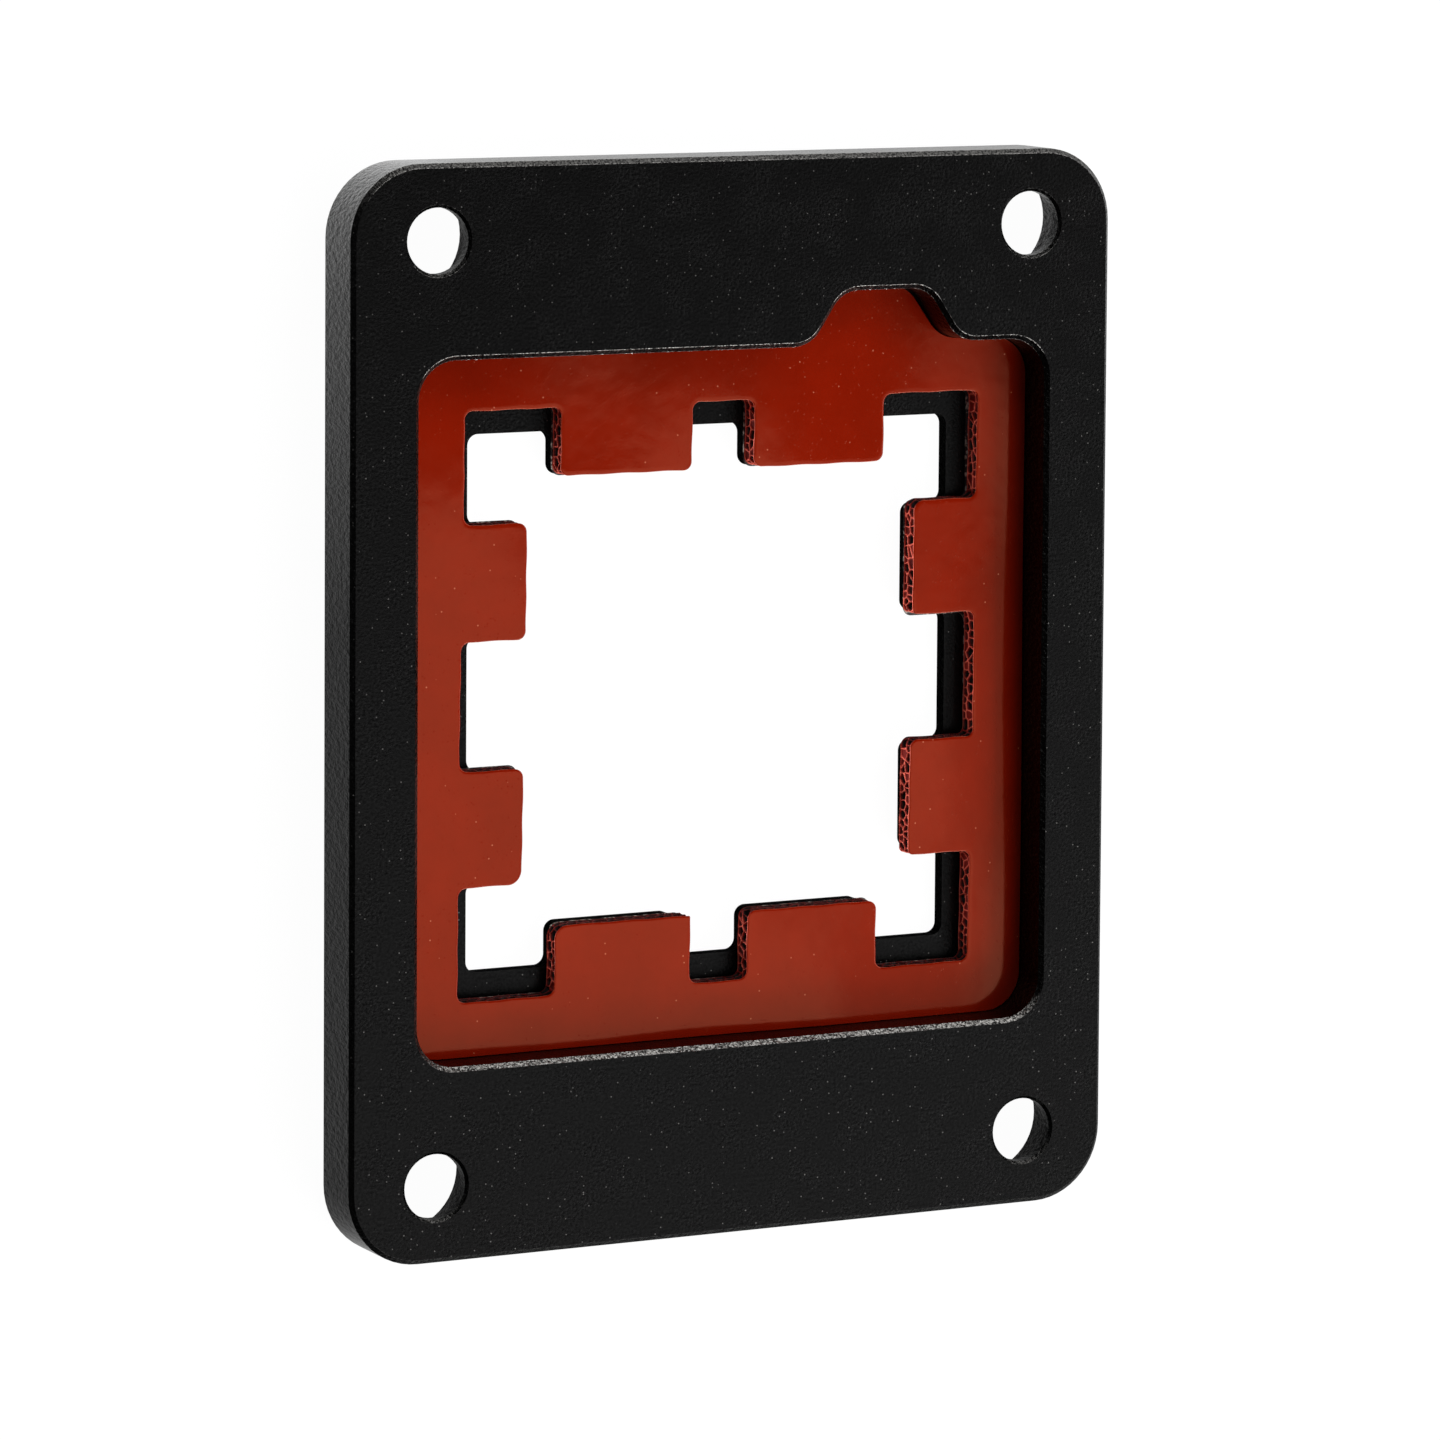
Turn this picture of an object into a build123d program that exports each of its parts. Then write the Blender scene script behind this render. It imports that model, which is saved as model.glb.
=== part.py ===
# Retention frame for a processor socket, lying with its board side up.
# A machined aluminium plate has a pocket for the socket and a thin comb-shaped web as the pocket's
# floor. A die-cut sponge gasket is stuck to the web and seals round the processor.
# Millimetres. X runs along the short side, Y along the long side and Z out of the board side.
# The origin is at the middle of the cooler-side face.
import os
from math import radians, tan

from build123d import *

os.makedirs("parts", exist_ok=True)

# The socket's screw pattern, and the plate built round it
screw_pitch_x = 44.4
screw_pitch_y = 62.8
side_margin = 6.2            # from a screw's centre line to the plate's long edge
end_margin = 5.1             # and to its short edge
plate_width = screw_pitch_x + 2 * side_margin
plate_length = screw_pitch_y + 2 * end_margin
plate_thickness = 5.4
plate_corner_radius = 5.0
board_edge_break = 0.3       # small chamfer on the edges of the board-side face
cooler_edge_bevel = 1.0      # wider bevel round the cooler-side face

# Screw holes in the corners, counterbored from the cooler side
hole_diameter = 4.4
hole_edge_break = 0.2
counterbore_diameter = 7.8
counterbore_edge_break = 0.1
bearing_wall = 0.9           # metal left under the screw head

# Pocket for the socket, with a rounded bump in its far wall that clears a board component
pocket_size = 47.0
pocket_corner_radius = 2.7
web_thickness = 1.0
bump_centre_x = 11.1
bump_height = 3.7
bump_crown_width = 6.5       # between the sharp corners of the crown, before rounding
bump_flank_angle = 57.0
bump_crown_radius = 2.2
bump_root_radius = 2.4

# Comb window in the web, shaped to the processor's heat spreader
window_size = 36.2           # between opposite notch floors
tab_reach = 3.0              # how far a tab stands in from the notch floors
end_tab_width = 9.4          # tabs on the two short sides of the plate
end_tab_pitch = 14.4
side_tab_width = 7.5         # tabs on the two long sides of the plate
side_tab_pitch = 16.5
window_corner_radius = 0.75

# Sponge gasket and the adhesive film under it
pad_thickness = 1.5
film_thickness = 0.1
pad_wall_gap = 0.05          # from the gasket's edge to the pocket wall
pad_window_shift = 0.2       # the gasket's window sits a little towards +X
pad_relief_x = 1.3           # how much wider its notches reach than the web's
pad_relief_y = 1.7
pad_overhang_x = 0.45        # how far its side tabs reach past the web's
pad_tab_margin = 0.25        # how much its tabs are wider on each flank
pad_corner_radius = 0.6

cut_margin = 1.0             # cutters reach this far past the faces they cut


def nearest(outline, corners):
    """The outline's own vertices that lie where these corners were before other fillets."""
    return [outline.vertices().sort_by_distance(corner)[0] for corner in corners]


def pocket_outline(inset=0.0):
    """Square with a rounded trapezoid on its far side, moved inwards all round by the inset."""
    half = pocket_size / 2 - inset
    crown_y = half + bump_height
    flank = radians(bump_flank_angle)
    crown_half = bump_crown_width / 2 - inset * tan(flank / 2)
    root_half = crown_half + bump_height / tan(flank)
    bump = Polygon(
        (bump_centre_x - root_half, half),
        (bump_centre_x + root_half, half),
        (bump_centre_x + crown_half, crown_y),
        (bump_centre_x - crown_half, crown_y),
        align=None,
    )
    outline = Rectangle(2 * half, 2 * half) + bump
    # The roots and the crown are each a pair of corners about the bump's own centre line
    from_bump = outline.vertices().sort_by(lambda corner: abs(corner.X - bump_centre_x))
    crown, root, corners = from_bump[:2], from_bump[2:4], from_bump[4:]
    outline = fillet(corners, pocket_corner_radius - inset)
    outline = fillet(nearest(outline, crown), bump_crown_radius - inset)
    return fillet(nearest(outline, root), bump_root_radius + inset)


def comb_outline(size_x, size_y, reach_x, reach_y, widen, corner_radius):
    """Window with two tabs on each side: a rectangle less eight tabs, all corners rounded."""
    outline = Rectangle(size_x, size_y)
    for side in (-1, 1):
        for end in (-1, 1):
            end_tab = Pos(side * end_tab_pitch / 2, end * size_y / 2)
            outline -= end_tab * Rectangle(end_tab_width + 2 * widen, 2 * reach_y)
            side_tab = Pos(side * size_x / 2, end * side_tab_pitch / 2)
            outline -= side_tab * Rectangle(2 * reach_x, side_tab_width + 2 * widen)
    return fillet(outline.vertices(), corner_radius)


def screw_hole():
    """Stepped hole as one turned cutter: clearance hole, counterbore and both edge breaks."""
    hole = hole_diameter / 2
    bore = counterbore_diameter / 2
    shoulder = plate_thickness - bearing_wall
    top = plate_thickness + cut_margin
    profile = Polyline(
        (0, -cut_margin),
        (bore + counterbore_edge_break + cut_margin, -cut_margin),
        (bore, counterbore_edge_break),
        (bore, shoulder),
        (hole, shoulder),
        (hole, plate_thickness - hole_edge_break),
        (hole + hole_edge_break + cut_margin, top),
        (0, top),
        close=True,
    )
    return revolve(Plane.XZ * make_face(profile), Axis.Z)


def frame():
    """The plate, milled from one blank."""
    body = extrude(RectangleRounded(plate_width, plate_length, plate_corner_radius), plate_thickness)
    body = chamfer(body.edges().group_by(Axis.Z)[0], cooler_edge_bevel)
    pocket_depth = plate_thickness - web_thickness
    body -= Pos(0, 0, web_thickness) * extrude(pocket_outline(), pocket_depth + cut_margin)
    body = chamfer(body.edges().group_by(Axis.Z)[-1], board_edge_break)
    window = comb_outline(window_size, window_size, tab_reach, tab_reach, 0, window_corner_radius)
    body -= Pos(0, 0, -cut_margin) * extrude(window, web_thickness + 2 * cut_margin)
    body -= GridLocations(screw_pitch_x, screw_pitch_y, 2, 2) * screw_hole()
    return body


def gasket_outline():
    """Die-cut shape shared by the sponge and its film: the pocket's outline less a larger comb."""
    window = comb_outline(
        window_size + 2 * pad_relief_x,
        window_size + 2 * pad_relief_y,
        tab_reach + pad_relief_x + pad_overhang_x,
        tab_reach + pad_relief_y,
        pad_tab_margin,
        pad_corner_radius,
    )
    return pocket_outline(pad_wall_gap) - Pos(pad_window_shift, 0) * window


def gasket_layer(bottom, thickness):
    return Pos(0, 0, bottom) * extrude(gasket_outline(), thickness)


nodes = {
    "frame": frame(),
    "adhesive_film": gasket_layer(web_thickness, film_thickness),
    "foam_pad": gasket_layer(web_thickness + film_thickness, pad_thickness),
}

for name, shape in nodes.items():
    export_step(shape, f"parts/{name}.step")
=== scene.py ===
from math import pi, radians, tan

import bpy
import numpy as np
from mathutils import Matrix, Vector
from mathutils.geometry import delaunay_2d_cdt


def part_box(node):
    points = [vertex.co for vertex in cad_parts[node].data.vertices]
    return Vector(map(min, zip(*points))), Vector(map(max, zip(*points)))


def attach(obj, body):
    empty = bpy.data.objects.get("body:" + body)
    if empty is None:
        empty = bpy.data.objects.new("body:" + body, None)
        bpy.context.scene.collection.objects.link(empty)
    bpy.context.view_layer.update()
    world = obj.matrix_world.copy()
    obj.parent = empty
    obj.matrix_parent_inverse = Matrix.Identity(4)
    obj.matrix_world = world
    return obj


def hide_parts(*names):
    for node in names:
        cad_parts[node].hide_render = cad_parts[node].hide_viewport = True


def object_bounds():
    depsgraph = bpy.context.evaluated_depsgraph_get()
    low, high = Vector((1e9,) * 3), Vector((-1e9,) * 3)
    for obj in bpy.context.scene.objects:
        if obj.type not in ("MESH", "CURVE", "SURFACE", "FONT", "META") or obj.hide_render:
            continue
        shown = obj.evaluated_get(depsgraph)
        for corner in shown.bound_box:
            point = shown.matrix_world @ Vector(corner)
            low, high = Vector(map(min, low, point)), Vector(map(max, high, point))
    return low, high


# A processor socket's retention frame, lying with its board side up, seen from above and to one
# side. Lengths in the dictionaries are millimetres of the real part, and Blender gets metres.
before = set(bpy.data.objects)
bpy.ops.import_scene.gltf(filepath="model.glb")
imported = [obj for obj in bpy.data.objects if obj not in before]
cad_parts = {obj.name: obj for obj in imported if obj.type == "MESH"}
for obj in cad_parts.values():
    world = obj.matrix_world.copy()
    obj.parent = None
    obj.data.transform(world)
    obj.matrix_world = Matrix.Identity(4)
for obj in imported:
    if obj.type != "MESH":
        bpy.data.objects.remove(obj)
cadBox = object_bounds()
mm = 0.001
print("frame loaded:", ", ".join(sorted(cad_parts)))


# Small helpers that every piece and material uses

def linearColour(hexCode):  # sRGB hex to Blender's linear colour
    value = np.array([int(hexCode[i:i + 2], 16) for i in (1, 3, 5)]) / 255
    linear = np.where(value <= 0.04045, value / 12.92, ((value + 0.055) / 1.055) ** 2.4)
    return (*linear.tolist(), 1.0)


def addNode(material, kind, settings=None, **inputs):
    # settings are the node's own properties; an input is named, or i and its number, and takes
    # a value or another node's output
    tree = material.node_tree
    node = tree.nodes.new(kind)
    for name, value in (settings or {}).items():
        setattr(node, name, value)
    for name, value in inputs.items():
        socket = node.inputs[int(name[1:])] if name[1:].isdigit() else node.inputs[name.replace("_", " ")]
        if isinstance(value, bpy.types.NodeSocket):
            tree.links.new(value, socket)
        else:
            socket.default_value = value
    return node


def newMaterial(name):
    material = bpy.data.materials.new(name)
    material.use_nodes = True
    material.node_tree.nodes.clear()
    return material


def finishMaterial(material, surface):
    addNode(material, "ShaderNodeOutputMaterial", i0=surface)
    print("material", material.name)
    return material


def meshObject(name, points, faces, materials, faceMaterial=None, smooth=None):
    # points in millimetres, faces as one array of corners per face size
    mesh = bpy.data.meshes.new(name)
    mesh.from_pydata((points * mm).tolist(), [], [face for group in faces for face in group.tolist()])
    for material in materials:
        mesh.materials.append(material)
    if faceMaterial is not None:
        mesh.polygons.foreach_set("material_index", faceMaterial.astype(np.int32))
    if smooth is not None:
        mesh.polygons.foreach_set("use_smooth", smooth)
    mesh.update()
    piece = bpy.data.objects.new(name, mesh)
    bpy.context.scene.collection.objects.link(piece)
    return piece


# Materials of the part

anodised = {
    # painted shade: a darker colour in the blasting's pits and a lighter one on its peaks
    "shadedPitColour": "#0a0a0a", "litPeakColour": "#191919",
    "roughness": 0.30,
    "grain": 0.20,           # mm, size of the dimples that the beads leave
    "grainDepth": 0.04,      # mm
    "pitShadeRange": (-0.2, 0.2),       # dimple heights between which the painted shade goes from dark in the pits to light on the peaks
    "peel": 0.28,            # mm, size of the slower waves on the milled sides and chamfers
    "peelDepth": 0.12,       # mm
    "peelStretch": 1.8,      # how much longer the waves are across the sides
    "peelSlant": (0.75, 0.9),      # only on faces whose normals point up less than this
    "patch": 2.6,            # mm, size of the patches where the blasting is heavier
    "patchRange": (0.40, 0.62), "lightBlast": 0.5,   # and how strong it is between them
    "edgeWidth": 0.07,       # mm, half the width of the rounded edge that gets a painted highlight
    # pale metal colour of all the painted highlights and glints
    "paintedShineColour": "#ece9e4",
    "edgeRoughness": 0.34,
    "edgeTurn": (0.999, 0.965),    # cosine of the turn from the face to the rounded normal there
    "edgeGap": 0.14,         # mm, length of the painted bright bits along an edge
    "bitRange": (0.40, 0.56), "dimBits": 0.05,       # noise levels where they start and are full
    "highlightLevel": (4.5, 4.9),       # mm, highlights are painted only on the upper edges
    "highlightEnd": (18.5, 21.5), "nearShare": 0.04,      # mm, and most on those at the far end
    "highlightTurn": (0.52, 0.70),      # not the edges that run along Y: share of Y in the level normal
    "highlightRim": (29.0, 33.0), "rimShare": 0.35,   # mm, the outer rim's edges get fainter painted highlights
    "chamferShine": 0.24,     # how pale the chamfers that face +Y are painted, a painted highlight where they catch the light
    "chamferSlant": (0.20, 0.45),  # product of a face normal's Y and Z that marks them
    "sparkle": 0.09,         # how pale the facets are painted that stand for glints, a painted highlight
    "sparkleSpacing": 0.42,  # mm between them
    "sparkleSize": 0.06,     # mm
    "sparkleShare": 0.38,    # share of the facets that catch it
    "holes": (22.2, 31.4),   # mm, the drilled holes' places, whose edges get little of the painted highlight
    "holeReach": (2.8, 3.2), "holeShare": 0.2,       # mm
}


def makeAnodisedAluminium():
    # Black anodised aluminium: milled, bead-blasted, then anodised and coloured black. The blasting
    # leaves dimples that break up the highlights; their pits are painted darker as shade and their
    # peaks lighter. Pale colour is painted as highlights on a few facets, sharp edges and +Y chamfers.
    material = newMaterial("beadBlastedBlackAnodisedAluminium")
    place = addNode(material, "ShaderNodeTexCoord").outputs["Object"]
    flat = addNode(material, "ShaderNodeNewGeometry")
    rounded = addNode(material, "ShaderNodeBevel", {"samples": 8}, Radius=anodised["edgeWidth"] * mm)
    parts = addNode(material, "ShaderNodeSeparateXYZ", i0=place)
    facing = addNode(material, "ShaderNodeSeparateXYZ", i0=flat.outputs["Normal"])

    grain = addNode(material, "ShaderNodeTexNoise", i0=place, Scale=1 / (anodised["grain"] * mm),
                    Detail=2.0, Roughness=0.6)
    patch = addNode(material, "ShaderNodeTexNoise", i0=place, Scale=1 / (anodised["patch"] * mm), Detail=2.0)
    light, heavy = anodised["patchRange"]
    heavier = addNode(material, "ShaderNodeMapRange", i0=patch.outputs[0], i1=light, i2=heavy,
                      i3=anodised["lightBlast"], i4=1.0)
    centred = addNode(material, "ShaderNodeMath", {"operation": "SUBTRACT"}, i0=grain.outputs[0], i1=0.5)
    height = addNode(material, "ShaderNodeMath", {"operation": "MULTIPLY"}, i0=centred.outputs[0],
                     i1=heavier.outputs[0])
    # painted shade in the dimples: pits darker, peaks lighter
    low, high = anodised["pitShadeRange"]
    pitShadeMask = addNode(material, "ShaderNodeMapRange", i0=height.outputs[0], i1=low, i2=high)
    pitShaded = addNode(material, "ShaderNodeMix", {"data_type": "RGBA"}, i0=pitShadeMask.outputs[0],
                   i6=linearColour(anodised["shadedPitColour"]), i7=linearColour(anodised["litPeakColour"]))
    stretched = addNode(material, "ShaderNodeVectorMath", {"operation": "MULTIPLY"}, i0=place,
                        i1=(1, 1, 1 / anodised["peelStretch"]))
    peel = addNode(material, "ShaderNodeTexNoise", i0=stretched.outputs[0],
                   Scale=1 / (anodised["peel"] * mm), Detail=3.0)
    slanted, level = anodised["peelSlant"]
    side = addNode(material, "ShaderNodeMapRange", i0=facing.outputs[2], i1=slanted, i2=level,
                   i3=anodised["peelDepth"] / anodised["grainDepth"], i4=0.0)
    relief = addNode(material, "ShaderNodeMath", {"operation": "MULTIPLY_ADD"}, i0=peel.outputs[0],
                     i1=side.outputs[0], i2=height.outputs[0])

    # painted glints: a few random facets get the pale colour
    facet = addNode(material, "ShaderNodeTexVoronoi", i0=place, Scale=1 / (anodised["sparkleSpacing"] * mm))
    facetSize = anodised["sparkleSize"] / anodised["sparkleSpacing"]
    bright = addNode(material, "ShaderNodeMapRange", i0=facet.outputs["Distance"], i1=0.5 * facetSize,
                     i2=facetSize, i3=anodised["sparkle"], i4=0.0)
    chance = addNode(material, "ShaderNodeSeparateColor", i0=facet.outputs["Color"])
    chosen = addNode(material, "ShaderNodeMath", {"operation": "GREATER_THAN"}, i0=chance.outputs[0],
                     i1=1 - anodised["sparkleShare"])
    sparkle = addNode(material, "ShaderNodeMath", {"operation": "MULTIPLY"}, i0=bright.outputs[0],
                      i1=chosen.outputs[0])

    # painted highlights along the edges, brightest where the light catches them: upper edges, the far end and
    # edges across Y; fainter on the outer rim and by the holes
    along = addNode(material, "ShaderNodeVectorMath", {"operation": "DOT_PRODUCT"}, i0=rounded.outputs[0],
                    i1=flat.outputs["Normal"])
    slight, full = anodised["edgeTurn"]
    edge = addNode(material, "ShaderNodeMapRange", i0=along.outputs["Value"], i1=slight, i2=full)
    bits = addNode(material, "ShaderNodeTexNoise", i0=place, Scale=1 / (anodised["edgeGap"] * mm), Detail=2.0)
    started, brightest = anodised["bitRange"]
    broken = addNode(material, "ShaderNodeMapRange", i0=bits.outputs[0], i1=started, i2=brightest,
                     i3=anodised["dimBits"])
    lowest, highest = anodised["highlightLevel"]
    upper = addNode(material, "ShaderNodeMapRange", i0=parts.outputs[2], i1=lowest * mm, i2=highest * mm)
    nearest, farthest = anodised["highlightEnd"]
    far = addNode(material, "ShaderNodeMapRange", i0=parts.outputs[1], i1=nearest * mm,
                  i2=farthest * mm, i3=anodised["nearShare"])
    inner, outer = anodised["highlightRim"]
    rim = addNode(material, "ShaderNodeMapRange", i0=parts.outputs[1], i1=inner * mm, i2=outer * mm, i3=1.0,
                  i4=anodised["rimShare"])
    levelled = addNode(material, "ShaderNodeVectorMath", {"operation": "MULTIPLY"}, i0=rounded.outputs[0],
                       i1=(1, 1, 0))
    heading = addNode(material, "ShaderNodeVectorMath", {"operation": "NORMALIZE"}, i0=levelled.outputs[0])
    turned = addNode(material, "ShaderNodeSeparateXYZ", i0=heading.outputs[0])
    turn = addNode(material, "ShaderNodeMath", {"operation": "ABSOLUTE"}, i0=turned.outputs[1])
    least, most = anodised["highlightTurn"]
    across = addNode(material, "ShaderNodeMapRange", i0=turn.outputs[0], i1=least, i2=most)
    quarter = addNode(material, "ShaderNodeVectorMath", {"operation": "ABSOLUTE"}, i0=place)
    flatQuarter = addNode(material, "ShaderNodeVectorMath", {"operation": "MULTIPLY"}, i0=quarter.outputs[0],
                          i1=(1, 1, 0))
    holeX, holeY = anodised["holes"]
    fromHole = addNode(material, "ShaderNodeVectorMath", {"operation": "DISTANCE"}, i0=flatQuarter.outputs[0],
                       i1=(holeX * mm, holeY * mm, 0))
    within, beyond = anodised["holeReach"]
    outside = addNode(material, "ShaderNodeMapRange", i0=fromHole.outputs["Value"], i1=within * mm,
                      i2=beyond * mm, i3=anodised["holeShare"])
    edgeHighlight = edge
    for share in (broken, upper, far, rim, across, outside):
        edgeHighlight = addNode(material, "ShaderNodeMath", {"operation": "MULTIPLY"}, i0=edgeHighlight.outputs[0],
                       i1=share.outputs[0])
    # painted highlight on the chamfers that face +Y
    leant = addNode(material, "ShaderNodeMath", {"operation": "MULTIPLY"}, i0=facing.outputs[1],
                    i1=facing.outputs[2])
    shallow, steep = anodised["chamferSlant"]
    chamfer = addNode(material, "ShaderNodeMapRange", i0=leant.outputs[0], i1=shallow, i2=steep,
                      i4=anodised["chamferShine"])
    for share in (broken, upper, rim, outside):
        chamfer = addNode(material, "ShaderNodeMath", {"operation": "MULTIPLY"}, i0=chamfer.outputs[0],
                          i1=share.outputs[0])
    # all painted highlights together: a pale colour and a little more roughness there
    paintedShine = sparkle
    for other in (edgeHighlight, chamfer):
        paintedShine = addNode(material, "ShaderNodeMath", {"operation": "MAXIMUM"}, i0=paintedShine.outputs[0],
                       i1=other.outputs[0])
    colour = addNode(material, "ShaderNodeMix", {"data_type": "RGBA"}, i0=paintedShine.outputs[0],
                     i6=pitShaded.outputs[2], i7=linearColour(anodised["paintedShineColour"]))
    rough = addNode(material, "ShaderNodeMapRange", i0=paintedShine.outputs[0], i3=anodised["roughness"],
                    i4=anodised["edgeRoughness"])

    bump = addNode(material, "ShaderNodeBump", Strength=1.0, Distance=anodised["grainDepth"] * mm,
                   Height=relief.outputs[0])
    surface = addNode(material, "ShaderNodeBsdfPrincipled", Base_Color=colour.outputs[2], Metallic=1.0,
                      Roughness=rough.outputs[0], Normal=bump.outputs[0])
    return finishMaterial(material, surface.outputs[0])


sponge = {
    "skinDark": "#791201", "skinLight": "#831502",
    "cloud": 5.0, "cloudRange": (0.35, 0.65),   # mm, size of the faint lighter and darker clouds
    "skinRoughness": 0.095, "refraction": 1.42,
    "skinTint": "#ff9b71",   # the clear skin lies over red sponge, so its gloss comes back tinted
    "pimple": 0.15, "pimpleDepth": 0.0014,  # mm
    "swell": 1.5, "swellDepth": 0.008,      # mm, slow unevenness of the sheet
    "blister": 0.36, "blisterSize": 0.14, "blisterDepth": 0.008,   # mm, spacing and size of blisters
    "blisterShare": 0.6,     # share of their places that hold one
    "speckSpacing": 1.0, "speckSize": 0.07, "speckColour": "#b5644c",   # mm, dust that stuck to the skin
    # the walls' colour is the sponge's red lightened as a painted highlight; the inner and hollow colours are
    # painted shade
    "wallColourAndHighlight": "#f8705a", "innerShadeColour": "#a0180c", "hollowShadeColour": "#0c0101",
    "innerShadeFrom": (0.02, 0.18), "hollowShadeFrom": (0.13, 0.48),   # share of the deepest cell's depth over which the painted shade deepens
    "cutRoughness": 0.60, "cutSheen": 0.2,
}


def makeSpongeSkin():
    # Silicone sponge, calendered and cured against smooth film: brick red with a glossy skin whose
    # fine pimples give the reflections in it grainy edges. A few specks of dust stuck to it.
    material = newMaterial("glossySiliconeSpongeSkin")
    place = addNode(material, "ShaderNodeTexCoord").outputs["Object"]
    cloud = addNode(material, "ShaderNodeTexNoise", i0=place, Scale=1 / (sponge["cloud"] * mm), Detail=7.0,
                    Roughness=0.6)
    least, most = sponge["cloudRange"]
    cloudy = addNode(material, "ShaderNodeMapRange", i0=cloud.outputs[0], i1=least, i2=most)
    clean = addNode(material, "ShaderNodeMix", {"data_type": "RGBA"}, i0=cloudy.outputs[0],
                    i6=linearColour(sponge["skinDark"]), i7=linearColour(sponge["skinLight"]))
    dust = addNode(material, "ShaderNodeTexVoronoi", i0=place, Scale=1 / (sponge["speckSpacing"] * mm))
    dustSize = sponge["speckSize"] / sponge["speckSpacing"]
    speck = addNode(material, "ShaderNodeMapRange", i0=dust.outputs["Distance"], i1=0.5 * dustSize,
                    i2=dustSize, i3=1.0, i4=0.0)
    colour = addNode(material, "ShaderNodeMix", {"data_type": "RGBA"}, i0=speck.outputs[0],
                     i6=clean.outputs[2], i7=linearColour(sponge["speckColour"]))
    pimple = addNode(material, "ShaderNodeTexNoise", i0=place, Scale=1 / (sponge["pimple"] * mm), Detail=3.0)
    swell = addNode(material, "ShaderNodeTexNoise", i0=place, Scale=1 / (sponge["swell"] * mm), Detail=1.0)
    uneven = addNode(material, "ShaderNodeMath", {"operation": "MULTIPLY_ADD"}, i0=swell.outputs[0],
                     i1=sponge["swellDepth"] / sponge["pimpleDepth"], i2=pimple.outputs[0])
    blister = addNode(material, "ShaderNodeTexVoronoi", i0=place, Scale=1 / (sponge["blister"] * mm))
    blisterRadius = 0.5 * sponge["blisterSize"] / sponge["blister"]
    domed = addNode(material, "ShaderNodeMapRange", {"interpolation_type": "SMOOTHSTEP"},
                    i0=blister.outputs["Distance"], i1=0.0, i2=blisterRadius,
                    i3=sponge["blisterDepth"] / sponge["pimpleDepth"], i4=0.0)
    chance = addNode(material, "ShaderNodeSeparateColor", i0=blister.outputs["Color"])
    chosen = addNode(material, "ShaderNodeMath", {"operation": "LESS_THAN"}, i0=chance.outputs[0],
                     i1=sponge["blisterShare"])
    relief = addNode(material, "ShaderNodeMath", {"operation": "MULTIPLY_ADD"}, i0=domed.outputs[0],
                     i1=chosen.outputs[0], i2=uneven.outputs[0])
    bump = addNode(material, "ShaderNodeBump", Strength=1.0, Distance=sponge["pimpleDepth"] * mm,
                   Height=relief.outputs[0])
    surface = addNode(material, "ShaderNodeBsdfPrincipled", Base_Color=colour.outputs[2],
                      Roughness=sponge["skinRoughness"], IOR=sponge["refraction"],
                      Specular_Tint=linearColour(sponge["skinTint"]), Normal=bump.outputs[0])
    return finishMaterial(material, surface.outputs[0])


def makeCutSponge():
    # The same silicone where the die cut it: open cells, coloured by depth from red walls, lightened as
    # a painted highlight, through darker red to hollows painted near-black as shade.
    material = newMaterial("dieCutSiliconeSpongeCells")
    depth = addNode(material, "ShaderNodeAttribute", {"attribute_name": "cellDepthAndShade"}).outputs["Fac"]
    # painted shade deepening into each cell by its depth
    least, most = sponge["innerShadeFrom"]
    innerShadeMask = addNode(material, "ShaderNodeMapRange", i0=depth, i1=least, i2=most)
    least, most = sponge["hollowShadeFrom"]
    hollowShadeMask = addNode(material, "ShaderNodeMapRange", i0=depth, i1=least, i2=most)
    walls = addNode(material, "ShaderNodeMix", {"data_type": "RGBA"}, i0=innerShadeMask.outputs[0],
                    i6=linearColour(sponge["wallColourAndHighlight"]), i7=linearColour(sponge["innerShadeColour"]))
    colour = addNode(material, "ShaderNodeMix", {"data_type": "RGBA"}, i0=hollowShadeMask.outputs[0],
                     i6=walls.outputs[2], i7=linearColour(sponge["hollowShadeColour"]))
    surface = addNode(material, "ShaderNodeBsdfPrincipled", Base_Color=colour.outputs[2],
                      Roughness=sponge["cutRoughness"], IOR=sponge["refraction"],
                      Specular_IOR_Level=sponge["cutSheen"])
    return finishMaterial(material, surface.outputs[0])


film = {
    "clearColour": "#150d0b", "cloudColour": "#a89f94",
    "roughness": 0.35,
    "fray": 0.30, "frayRange": (0.52, 0.64),    # mm, length of the pale bits
    "hiddenFrom": 21.5,      # mm along Y from where no pale bits show
}


def makeAdhesiveFilm():
    # Acrylic transfer adhesive on a thin clear film. Its cut edge frays, so it shows as a broken
    # pale line.
    material = newMaterial("acrylicAdhesiveFilm")
    place = addNode(material, "ShaderNodeTexCoord").outputs["Object"]
    fray = addNode(material, "ShaderNodeTexNoise", i0=place, Scale=1 / (film["fray"] * mm), Detail=2.0)
    least, most = film["frayRange"]
    torn = addNode(material, "ShaderNodeMapRange", i0=fray.outputs[0], i1=least, i2=most)
    parts = addNode(material, "ShaderNodeSeparateXYZ", i0=place)
    shown = addNode(material, "ShaderNodeMath", {"operation": "LESS_THAN"}, i0=parts.outputs[1],
                    i1=film["hiddenFrom"] * mm)
    pale = addNode(material, "ShaderNodeMath", {"operation": "MULTIPLY"}, i0=torn.outputs[0],
                   i1=shown.outputs[0])
    colour = addNode(material, "ShaderNodeMix", {"data_type": "RGBA"}, i0=pale.outputs[0],
                     i6=linearColour(film["clearColour"]), i7=linearColour(film["cloudColour"]))
    surface = addNode(material, "ShaderNodeBsdfPrincipled", Base_Color=colour.outputs[2],
                      Roughness=film["roughness"])
    return finishMaterial(material, surface.outputs[0])


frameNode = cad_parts["frame"]
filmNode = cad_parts["adhesive_film"]
for node, material in ((frameNode, makeAnodisedAluminium()), (filmNode, makeAdhesiveFilm())):
    node.data.materials.clear()
    node.data.materials.append(material)


# The sponge gasket: a die-cut sheet with a glossy skin, and open cells all along its cut edge

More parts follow.
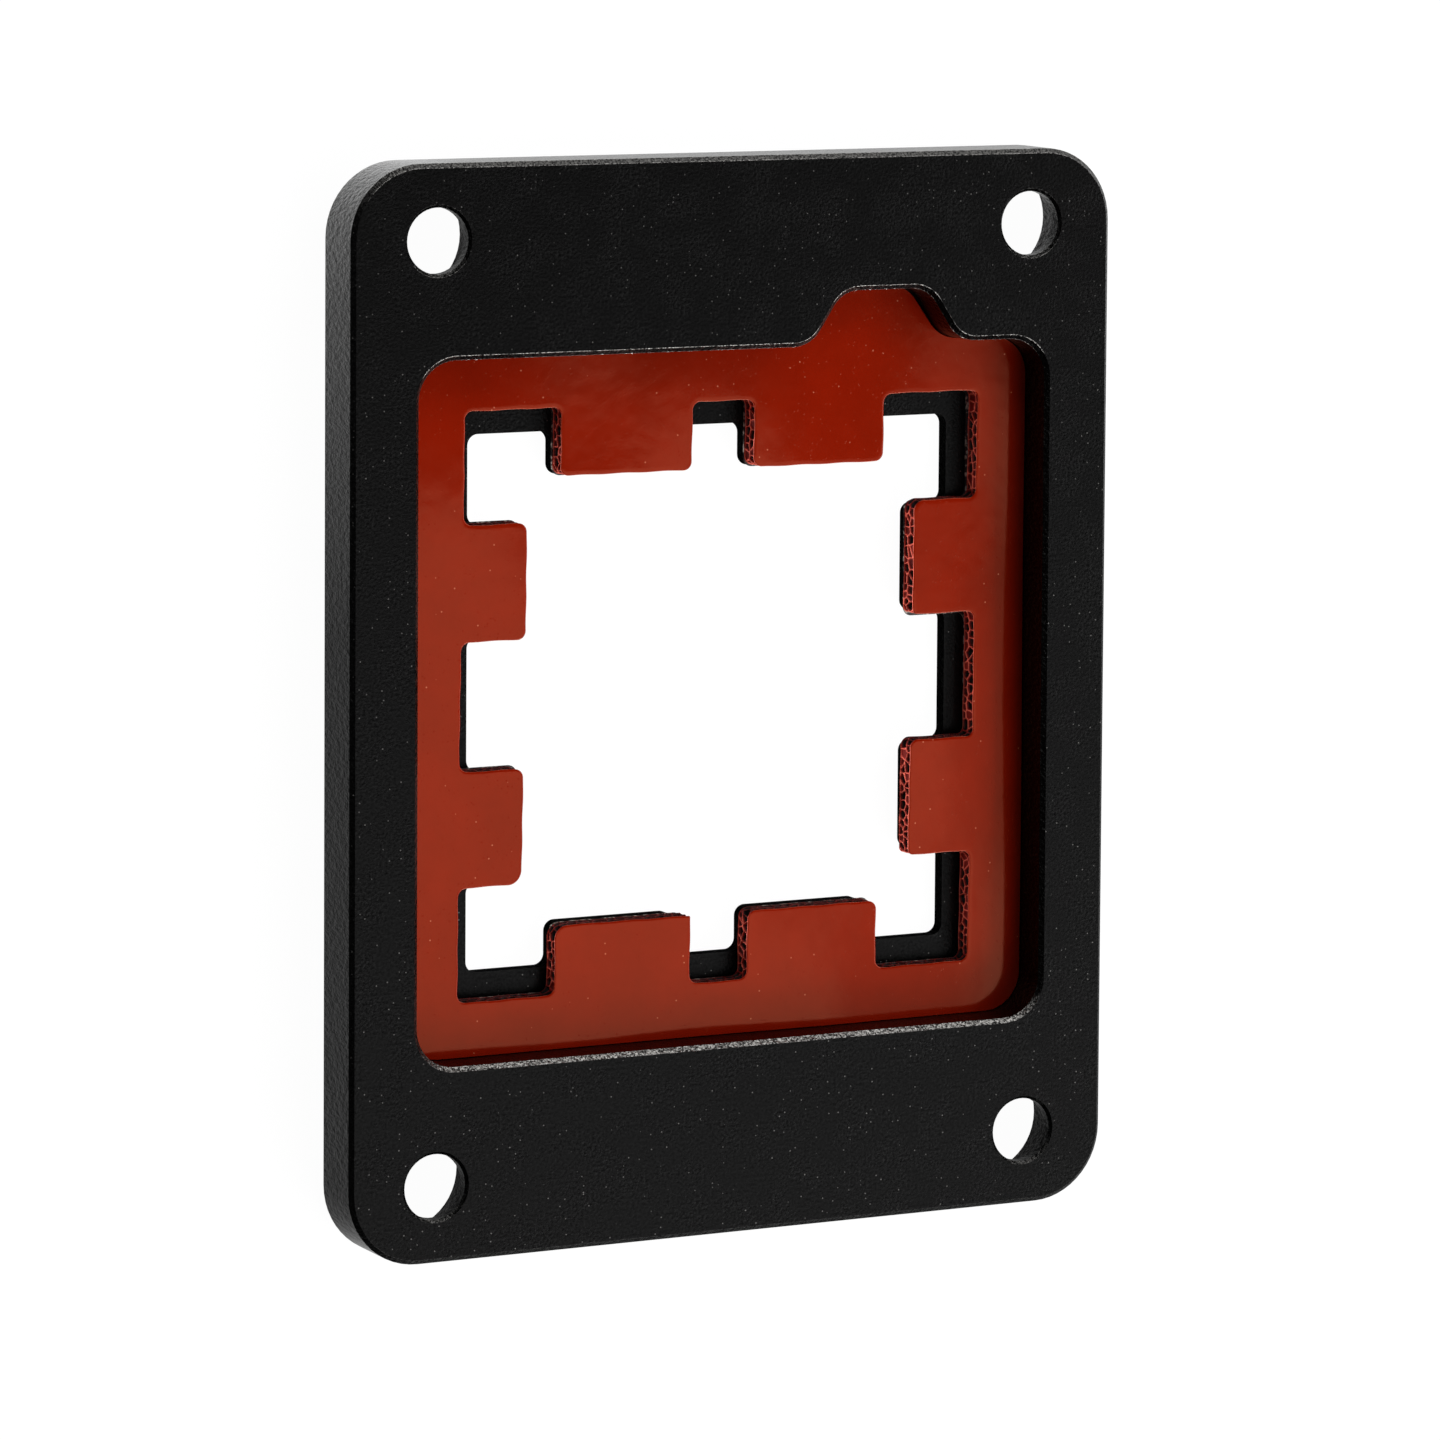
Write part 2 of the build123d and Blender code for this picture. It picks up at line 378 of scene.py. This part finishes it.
gasket = {
    # The window's sides, clockwise: how far out the notches' floors and the tabs' tips lie, and
    # where the tabs' flanks are along the side. Each tab was punched a little differently.
    "sides": (
        {"floor": 19.80, "tips": 15.20, "flanks": (-12.24, -2.55, 2.15, 12.07)},
        {"floor": 19.40, "tips": 14.58, "flanks": (-12.36, -4.51, 4.16, 12.14)},
        {"floor": 19.80, "tips": 15.12, "flanks": (-12.15, -2.25, 2.11, 12.15)},
        {"floor": 19.40, "tips": 14.72, "flanks": (-12.10, -4.32, 4.38, 12.18)},
    ),
    # Their corners' radii, each side from its first corner on
    "radii": (
        (0.6, 0.6, 0.6, 0.6, 0.6, 0.6, 0.6, 0.6, 0.6),
        (0.6, 0.6, 0.8, 0.35, 0.5, 0.5, 0.6, 0.35, 0.5),
        (0.6, 0.6, 0.6, 0.6, 0.6, 0.6, 0.1, 0.9, 0.6),
        (0.6, 0.6, 1.0, 0.6, 0.6, 0.6, 0.6, 0.6, 0.6),
    ),
    "windowShift": 0.2,
    "windowLean": 0.011,    # the window was punched a little askew: X moves by this share of Y
    "pocketSize": 46.9, "pocketRadius": 2.65,
    "bumpX": 11.1, "bumpHeight": 3.7, "bumpCrown": 6.446, "bumpFlank": 57.0,
    "crownRadius": 2.15, "rootRadius": 2.45,
    "crownGap": 0.20, "rootGap": 0.0,     # the bump was cut short of the wall on its +X flank
    "alongStep": 0.080, "upStep": 0.06,   # mesh spacing on the cut edge
    "skinStep": 0.5,        # over the skin
    "outerStep": 0.3, "outerRows": 4,     # and on the outer edge
    "clearOfCut": 0.5, "clearOfRim": 0.2,   # where the skin's even points start
    "wobbleHeight": 0.02, "wobbleLength": 3.1,   # the blade's waver along the cut
    # The skin's slow waves: height, radians per mm along X and Y, and radians at the middle
    "waves": ((0.073, 0.246, 0.183, -2.32), (0.027, 0.394, -0.188, -0.26)),
    "rimDrop": 0.03,        # how far the skin rolls off at its cut edge
    "rimWidth": 0.16,
    "rings": (0.03, 0.08, 0.16, 0.32),   # rows of points along the cut edge
}
cells = {
    "pitchAlong": 0.60, "pitchUp": 0.80,
    "firstRow": 0.44,       # below the skin
    "jitter": 0.38,         # share of the pitch
    "stretch": 1.2,         # cells are taller than wide
    "wall": 0.030,          # half a wall's thickness
    "slope": 0.07,          # from a wall's edge to the full depth
    "depth": (0.10, 0.42),
    "skin": 0.06, "foot": 0.04,   # solid layers above and below the cells
    "seed": 7,
    "plusYShade": 0.35,           # how much darker the cut edges that face +Y are painted, as shade
}
lowest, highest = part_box("foam_pad")
padBottom, padTop = lowest.z / mm, highest.z / mm


# Closed outline with rounded corners, as evenly spaced points with their normals to the right of
# the way round. Each corner is cut back by its radius times the tangent of half its turn, an arc
# joins the cuts, and the whole line is then walked at equal steps.
def roundedOutline(corners, radii, step):
    corners = np.asarray(corners, float)
    before, after = np.roll(corners, 1, 0), np.roll(corners, -1, 0)
    inward = (corners - before) / np.linalg.norm(corners - before, axis=1)[:, None]
    onward = (after - corners) / np.linalg.norm(after - corners, axis=1)[:, None]
    turn = np.arctan2(inward[:, 0] * onward[:, 1] - inward[:, 1] * onward[:, 0], (inward * onward).sum(1))
    radius = np.broadcast_to(radii, turn.shape)
    cut = radius * np.tan(np.abs(turn) / 2)
    start = corners - inward * cut[:, None]
    side = np.stack([-inward[:, 1], inward[:, 0]], 1) * np.sign(turn)[:, None]
    angle = np.abs(turn)[:, None] * np.linspace(0, 1, 25)[None, :]
    arcs = (start[:, None] + inward[:, None] * (radius[:, None] * np.sin(angle))[..., None]
            + side[:, None] * (radius[:, None] * (1 - np.cos(angle)))[..., None])
    line = arcs.reshape(-1, 2)
    closed = np.vstack([line, line[:1]])
    along = np.concatenate([[0], np.cumsum(np.linalg.norm(np.diff(closed, axis=0), axis=1))])
    count = int(round(along[-1] / step))
    at = np.arange(count) * along[-1] / count
    points = np.stack([np.interp(at, along, closed[:, k]) for k in (0, 1)], 1)
    tangent = np.roll(points, -1, 0) - np.roll(points, 1, 0)
    tangent /= np.linalg.norm(tangent, axis=1)[:, None]
    return points, np.stack([tangent[:, 1], -tangent[:, 0]], 1), at, along[-1]


# The window's corners, clockwise: far end, right side, near end, left side. Each side is a row of
# steps between the notch floor and the tabs' tips, laid out as the far end and turned into place.
def combCorners():
    corners = []
    for k, side in enumerate(gasket["sides"]):
        start = -gasket["sides"][k - 1]["floor"]
        depth = np.array([0, 1, 1, 0, 0, 1, 1, 0]) * (side["floor"] - side["tips"])
        row = np.vstack([[[start, side["floor"]]],
                         np.stack([np.repeat(side["flanks"], 2), side["floor"] - depth], 1)])
        for _ in range(k):
            row = np.stack([row[:, 1], -row[:, 0]], 1)
        corners.append(row)
    return np.vstack(corners)


# The pocket's corners, anticlockwise, with the bump in its far side as a trapezoid
def pocketCorners():
    half = gasket["pocketSize"] / 2
    crown = gasket["bumpCrown"] / 2
    root = crown + gasket["bumpHeight"] / tan(radians(gasket["bumpFlank"]))
    x, top = gasket["bumpX"], half + gasket["bumpHeight"]
    corners = [(-half, -half), (half, -half), (half, half), (x + root - gasket["rootGap"], half),
               (x + crown - gasket["crownGap"], top), (x - crown, top), (x - root, half), (-half, half)]
    big, crownRadius, rootRadius = gasket["pocketRadius"], gasket["crownRadius"], gasket["rootRadius"]
    return corners, [big, big, big, rootRadius, crownRadius, crownRadius, rootRadius, big]


def lean(points):  # the punched window's small shift and lean
    moved = points.copy()
    moved[:, 0] += gasket["windowShift"] + gasket["windowLean"] * points[:, 1]
    return moved


# Which points lie inside a closed outline: the number of outline edges that a ray along +X from
# the point crosses is odd.
def inside(points, outline):
    x, y = points[:, 0][:, None], points[:, 1][:, None]
    ax, ay = outline[:, 0][None], outline[:, 1][None]
    bx, by = np.roll(outline[:, 0], -1)[None], np.roll(outline[:, 1], -1)[None]
    straddles = (ay > y) != (by > y)
    with np.errstate(divide="ignore", invalid="ignore"):
        crossing = ax + (y - ay) * (bx - ax) / (by - ay)
    return (straddles & (x < crossing)).sum(1) % 2 == 1


def distanceTo(points, line):  # to the line's nearest point, in blocks to save memory
    return np.concatenate([np.sqrt(((block[:, None] - line[None]) ** 2).sum(-1)).min(1)
                           for block in np.array_split(points, max(1, len(points) // 500))])


# Height of the skin: the pad's top, less slow sine waves that run slantwise over the sheet, less a
# quarter-round roll-off at the rim.
def skinHeight(points, rimDistance):
    near = np.clip(1 - rimDistance / gasket["rimWidth"], 0, 1)
    level = padTop - gasket["rimDrop"] * (1 - np.sqrt(1 - near ** 2))
    for height, turnX, turnY, start in gasket["waves"]:
        level = level - height * (1 - np.sin(turnX * points[:, 0] + turnY * points[:, 1] + start))
    return level


# Depth of the open cells at each point of the unrolled cut edge. Cell centres are a jittered
# lattice, a wall runs midway between two centres, and a point's distance to the nearest wall is
# the difference of its squared distances to the two centres, over twice the centres' spacing.
# From the wall's edge the cell deepens along a parabola.
def cellPits(along, up, length, rng):
    columns = int(round(length / cells["pitchAlong"]))
    pitchAlong = length / columns
    pitchUp = cells["pitchUp"]
    rows = int(np.ceil((padTop - padBottom) / pitchUp)) + 3
    jitter = rng.uniform(-cells["jitter"], cells["jitter"], (columns, rows, 2))
    depth = rng.uniform(*cells["depth"], (columns, rows))
    below = padTop - up
    column = np.floor(along / pitchAlong).astype(int)
    row = np.round((below - cells["firstRow"]) / pitchUp).astype(int)
    centres = []
    for across in (-2, -1, 0, 1, 2):
        for down in (-1, 0, 1):
            c, r = (column + across) % columns, np.clip(row + down + 1, 0, rows - 1)
            stagger = 0.25 * (1 - 2 * ((row + down) % 2))
            x = (column + across + 0.5 + stagger + jitter[c, r, 0]) * pitchAlong
            y = (cells["firstRow"] + (row + down + jitter[c, r, 1]) * pitchUp) / cells["stretch"]
            centres.append((x, y, depth[c, r]))
    x, y, depth = (np.stack(part) for part in zip(*centres))
    away = (along - x) ** 2 + (below / cells["stretch"] - y) ** 2
    own = away.argmin(0)[None]
    nearest = np.take_along_axis(away, own, 0)
    spacing = np.hypot(x - np.take_along_axis(x, own, 0), y - np.take_along_axis(y, own, 0))
    toWall = np.where(spacing > 1e-6, (away - nearest) / (2 * np.maximum(spacing, 1e-6)), 9.0).min(0)
    share = np.clip((toWall - cells["wall"]) / cells["slope"], 0, 1)
    return np.take_along_axis(depth, own, 0)[0] * (1 - (1 - share) ** 2)


# The gasket's mesh: the skin's height over the plan between the two outlines, the same plan flat at
# the foot, and both outlines carried straight up between them in even rows, the window's with each
# point pushed into the sponge by its cell's depth.
def makeGasket(materials):
    rng = np.random.default_rng(cells["seed"])
    corners, radii = combCorners(), np.concatenate(gasket["radii"])
    window, windowNormal, windowAlong, length = roundedOutline(corners, radii, gasket["alongStep"])
    windowNormal = -windowNormal    # clockwise, so this points into the sponge
    outer, _, _, _ = roundedOutline(*pocketCorners(), gasket["outerStep"])
    waves = round(length / gasket["wobbleLength"])
    wobble = gasket["wobbleHeight"] * np.sin(windowAlong * 2 * pi * waves / length)
    rim = lean(window + windowNormal * wobble[:, None])
    n, m = len(rim), len(outer)
    print("gasket outlines:", n, "points on the cut edge,", m, "outside")

    # Skin: a constrained Delaunay triangulation between the two outlines, with rings of points
    # close to the cut edge and a lattice of points elsewhere
    rings = []
    for k, into in enumerate(gasket["rings"]):
        ring = (rim + windowNormal * into)[k % 2::1 if k < 2 else 2]
        rings.append(ring[distanceTo(ring, rim) > 0.9 * into])
    rings = np.vstack(rings)
    rings = rings[inside(rings, outer) & ~inside(rings, rim)]
    half = gasket["pocketSize"] / 2 + gasket["bumpHeight"]
    ticks = np.arange(-half, half, gasket["skinStep"])
    lattice = np.stack(np.meshgrid(ticks, ticks), -1).reshape(-1, 2)
    lattice = lattice[inside(lattice, outer) & ~inside(lattice, rim)]
    lattice = lattice[(distanceTo(lattice, rim) > gasket["clearOfCut"])
                      & (distanceTo(lattice, outer) > gasket["clearOfRim"])]
    flat = np.vstack([rim, outer, rings, lattice])
    edges = [(i, (i + 1) % n) for i in range(n)] + [(n + i, n + (i + 1) % m) for i in range(m)]
    made = delaunay_2d_cdt([Vector(p) for p in flat.tolist()], edges, [], 1, 1e-5)
    skinFlat = np.array([tuple(v) for v in made[0]])
    triangles = np.array(made[2])
    middle = skinFlat[triangles].mean(1)
    triangles = triangles[inside(middle, outer) & ~inside(middle, rim)]
    a, b, c = (skinFlat[triangles[:, k]] for k in range(3))
    turnedOver = ((b - a)[:, 0] * (c - a)[:, 1] - (b - a)[:, 1] * (c - a)[:, 0]) < 0
    triangles[turnedOver] = triangles[turnedOver][:, ::-1]
    skin = np.column_stack([skinFlat, skinHeight(skinFlat, distanceTo(skinFlat, rim))])
    base = np.column_stack([skinFlat, np.full(len(skinFlat), padBottom)])

    # Cut edge: the window's outline carried upwards, each point pushed back by its cell's depth
    rows = int(round((padTop - padBottom) / gasket["upStep"])) + 1
    rimTop = skinHeight(rim, np.zeros(n))
    up = padBottom + (rimTop - padBottom)[None] * np.linspace(0, 1, rows)[:, None]
    depth = cellPits(np.tile(windowAlong, rows), up.ravel(), length, rng).reshape(rows, n)
    depth *= np.clip((rimTop[None] - up) / cells["skin"] - 1, 0, 1)
    depth *= np.clip((up - padBottom) / cells["foot"] - 0.5, 0, 1)
    wallPlan = rim[None] + windowNormal[None] * depth[..., None]
    wall = np.dstack([wallPlan, up]).reshape(-1, 3)

    # Outer edge, hidden against the pocket's wall
    outerRows = gasket["outerRows"]
    outerTop = skinHeight(outer, np.full(m, np.inf))
    outerUp = padBottom + (outerTop - padBottom)[None] * np.linspace(0, 1, outerRows)[:, None]
    outerWall = np.dstack([np.broadcast_to(outer, (outerRows, m, 2)), outerUp]).reshape(-1, 3)

    # Quads between neighbouring rows of a closed band, whose points run row by row
    def strip(rows, count, start):
        i, j = np.meshgrid(np.arange(rows - 1), np.arange(count), indexing="ij")
        right = (j + 1) % count
        quad = np.stack([i * count + j, i * count + right, (i + 1) * count + right,
                         (i + 1) * count + j], -1)
        return quad.reshape(-1, 4) + start

    parts = [skin, base, wall, outerWall]
    starts = np.concatenate([[0], np.cumsum([len(p) for p in parts])])
    faces = [triangles, triangles[:, ::-1] + starts[1], strip(rows, n, starts[2]),
             strip(outerRows, m, starts[3])]
    faceMaterial = np.concatenate([np.full(len(f), k) for f, k in zip(faces, (0, 0, 1, 0))])
    piece = meshObject("gasketSponge", np.vstack(parts), faces, materials, faceMaterial,
                       np.ones(len(faceMaterial), bool))
    attribute = piece.data.attributes.new("cellDepthAndShade", "FLOAT", "POINT")
    values = np.zeros(starts[-1], np.float32)
    # painted shade on the cut edges that face +Y, added to the depth that colours the cells
    plusYShade = cells["plusYShade"] * np.clip(-windowNormal[:, 1], 0, 1)
    values[starts[2]:starts[3]] = (depth / cells["depth"][1] + plusYShade).ravel()
    attribute.data.foreach_set("value", values)
    print("gasket mesh:", len(faceMaterial), "faces")
    return piece


gasketPiece = makeGasket([makeSpongeSkin(), makeCutSponge()])
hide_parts("foam_pad")
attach(gasketPiece, "root")


# Stage: white floor, soft boxes and the camera

floorSettings = {
    "size": 3000.0, "drop": 0.02,
    "glow": 0.975, "shade": 0.05,     # seen by the camera: own light, and what takes the shadow
    "white": 0.80, "bounce": 1.9,     # seen by diffuse rays
    "nearGlow": 0.36, "farGlow": 1.15, "reach": (5.0, 40.0),   # seen in reflections, near and far side
    "patches": ((-27.0, 39.0, 13.0, 0.7), (-23.0, -40.0, 8.0, 0.8)),   # place, radius and extra glow
    "shadedX": (20.0, 26.0), "shadedY": (28.0, 35.0),   # mm, the frame's own shadow under it
}


def makeFloor():
    # White paper sweep. It shows white to the camera, keeps the shadow, and is dimmer in
    # reflections, where the real set fell off towards the near side.
    half = floorSettings["size"] / 2
    points = np.array([[-half, -half, 0], [half, -half, 0], [half, half, 0], [-half, half, 0]])
    points[:, 2] = -floorSettings["drop"]
    material = newMaterial("whitePaperSweep")
    path = addNode(material, "ShaderNodeLightPath")
    glow = addNode(material, "ShaderNodeEmission", Strength=floorSettings["glow"])
    lit = addNode(material, "ShaderNodeBsdfDiffuse", Color=(floorSettings["shade"],) * 3 + (1,))
    seen = addNode(material, "ShaderNodeAddShader", i0=glow.outputs[0], i1=lit.outputs[0])
    paper = addNode(material, "ShaderNodeBsdfDiffuse", Color=(floorSettings["white"],) * 3 + (1,))
    brighter = addNode(material, "ShaderNodeEmission", Strength=floorSettings["bounce"])
    bounced = addNode(material, "ShaderNodeAddShader", i0=paper.outputs[0], i1=brighter.outputs[0])
    place = addNode(material, "ShaderNodeTexCoord").outputs["Object"]
    parts = addNode(material, "ShaderNodeSeparateXYZ", i0=place)
    nearest, farthest = floorSettings["reach"]
    fall = addNode(material, "ShaderNodeMapRange", i0=parts.outputs[1], i1=nearest * mm, i2=farthest * mm,
                   i3=floorSettings["nearGlow"], i4=floorSettings["farGlow"])
    strength = fall
    for x, y, radius, extra in floorSettings["patches"]:
        near = addNode(material, "ShaderNodeVectorMath", {"operation": "DISTANCE"}, i0=place,
                       i1=(x * mm, y * mm, 0))
        patch = addNode(material, "ShaderNodeMapRange", {"interpolation_type": "SMOOTHSTEP"},
                        i0=near.outputs["Value"], i1=0.0, i2=radius * mm, i3=extra, i4=0.0)
        strength = addNode(material, "ShaderNodeMath", {"operation": "ADD"}, i0=strength.outputs[0],
                           i1=patch.outputs[0])
    quarter = addNode(material, "ShaderNodeVectorMath", {"operation": "ABSOLUTE"}, i0=place)
    reach = addNode(material, "ShaderNodeSeparateXYZ", i0=quarter.outputs[0])
    beside, beyond = (
        addNode(material, "ShaderNodeMapRange", i0=reach.outputs[k], i1=edge[0] * mm, i2=edge[1] * mm)
        for k, edge in enumerate((floorSettings["shadedX"], floorSettings["shadedY"])))
    unshaded = addNode(material, "ShaderNodeMath", {"operation": "MAXIMUM"}, i0=beside.outputs[0],
                       i1=beyond.outputs[0])
    strength = addNode(material, "ShaderNodeMath", {"operation": "MULTIPLY"}, i0=strength.outputs[0],
                       i1=unshaded.outputs[0])
    mirror = addNode(material, "ShaderNodeEmission", Strength=strength.outputs[0])
    mirrored = addNode(material, "ShaderNodeMath", {"operation": "MAXIMUM"},
                       i0=path.outputs["Is Glossy Ray"], i1=path.outputs["Is Transmission Ray"])
    other = addNode(material, "ShaderNodeMixShader", i0=mirrored.outputs[0], i1=bounced.outputs[0],
                    i2=mirror.outputs[0])
    surface = addNode(material, "ShaderNodeMixShader", i0=path.outputs["Is Camera Ray"],
                      i1=other.outputs[0], i2=seen.outputs[0])
    sweep = finishMaterial(material, surface.outputs[0])
    floor = meshObject("floor", points, [np.array([[0, 1, 2, 3]])], [sweep])


studioFill = 0.10  # dim light from all round


def makeWorld():  # a dark studio, white only where the camera looks past the floor
    world = bpy.data.worlds.new("studio")
    bpy.context.scene.world = world
    world.use_nodes = True
    world.node_tree.nodes.clear()
    path = addNode(world, "ShaderNodeLightPath")
    seen = addNode(world, "ShaderNodeBackground", Color=(1, 1, 1, 1), Strength=1.0)
    fill = addNode(world, "ShaderNodeBackground", Color=(1, 1, 1, 1), Strength=studioFill)
    mix = addNode(world, "ShaderNodeMixShader", i0=path.outputs["Is Camera Ray"], i1=fill.outputs[0],
                  i2=seen.outputs[0])
    addNode(world, "ShaderNodeOutputWorld", i0=mix.outputs[0])


# Middle, what it faces and size in mm, its radiance, turn about its own axis in degrees, and
# whether it lights matt surfaces
softBoxes = {
    "overheadBox": {"middle": (225, -285, 620), "facing": (225, -285, 0), "size": (255, 440),
                    "radiance": 1.75, "turn": 4.1},
    "dimmerBox": {"middle": (417, -272, 620), "facing": (417, -272, 0), "size": (130, 440),
                  "radiance": 0.85, "turn": 4.1},
    "topBox": {"middle": (-50, 40, 680), "facing": (-50, 40, 0), "size": (260, 400), "radiance": 1.2,
               "lightsMatt": False},
    "keyBox": {"middle": (640, 0, 470), "facing": (0, 0, 0), "size": (1500, 400), "radiance": 2.9},
    "nearBox": {"middle": (300, -560, 400), "facing": (0, 0, 0), "size": (500, 300), "radiance": 5.8},
    "farBox": {"middle": (200, 560, 420), "facing": (0, 0, 0), "size": (500, 300), "radiance": 2.7},
    "farStrip": {"middle": (330, 660, 185), "facing": (0, 0, 0), "size": (900, 300), "radiance": 1.2,
                 "lightsMatt": False},
    "sideBox": {"middle": (-350, 210, 570), "facing": (0, 0, 0), "size": (250, 250), "radiance": 3.5,
                "lightsMatt": False},
}


def addSoftBox(name, middle, facing, size, radiance, turn=0.0, lightsMatt=True):
    # an area lamp sends out pi times its radiance and area, and Blender's power is four times that
    axis = (Vector(middle) - Vector(facing)).normalized()
    data = bpy.data.lights.new(name, "AREA")
    data.shape = "RECTANGLE"
    data.size, data.size_y = size[0] * mm, size[1] * mm
    data.energy = 4 * data.size * data.size_y * radiance
    lamp = bpy.data.objects.new(name, data)
    aimed = axis.to_track_quat("Z", "Y").to_matrix().to_4x4()
    lamp.matrix_world = (Matrix.Translation(Vector(middle) * mm) @ aimed
                         @ Matrix.Rotation(radians(turn), 4, "Z"))
    lamp.visible_diffuse = lightsMatt
    bpy.context.scene.collection.objects.link(lamp)


cameraSettings = {
    "focalLength": 172.26, "sensor": 36.0,         # mm, a long lens
    "turn": 26.780, "tilt": 4.196, "roll": 1.699,  # degrees
    "across": 1.241, "up": -28.764, "away": 463.507,   # of the board face's middle, from the camera
    "shiftUp": -0.3125,     # the photograph is the lower part of a wider one
    "clip": (0.01, 20.0),   # metres
}


def makeCamera():
    data = bpy.data.cameras.new("camera")
    data.sensor_width = cameraSettings["sensor"]
    data.lens = cameraSettings["focalLength"]
    data.shift_y = cameraSettings["shiftUp"]
    data.clip_start, data.clip_end = cameraSettings["clip"]
    turned = (Matrix.Rotation(radians(cameraSettings["turn"]), 3, "Y")
              @ Matrix.Rotation(radians(cameraSettings["tilt"]), 3, "X")
              @ Matrix.Rotation(radians(cameraSettings["roll"]), 3, "Z"))
    back = turned.transposed()
    offset = Vector((cameraSettings["across"], cameraSettings["up"], -cameraSettings["away"]))
    boardFace = Vector((0, 0, cadBox[1].z))
    camera = bpy.data.objects.new("camera", data)
    camera.matrix_world = Matrix.Translation(boardFace - back @ offset * mm) @ back.to_4x4()
    bpy.context.scene.collection.objects.link(camera)
    bpy.context.scene.camera = camera


makeFloor()
makeWorld()
for name, box in softBoxes.items():
    addSoftBox(name, **box)
makeCamera()
bpy.context.scene.view_settings.view_transform = "Standard"
print("stage and camera ready")
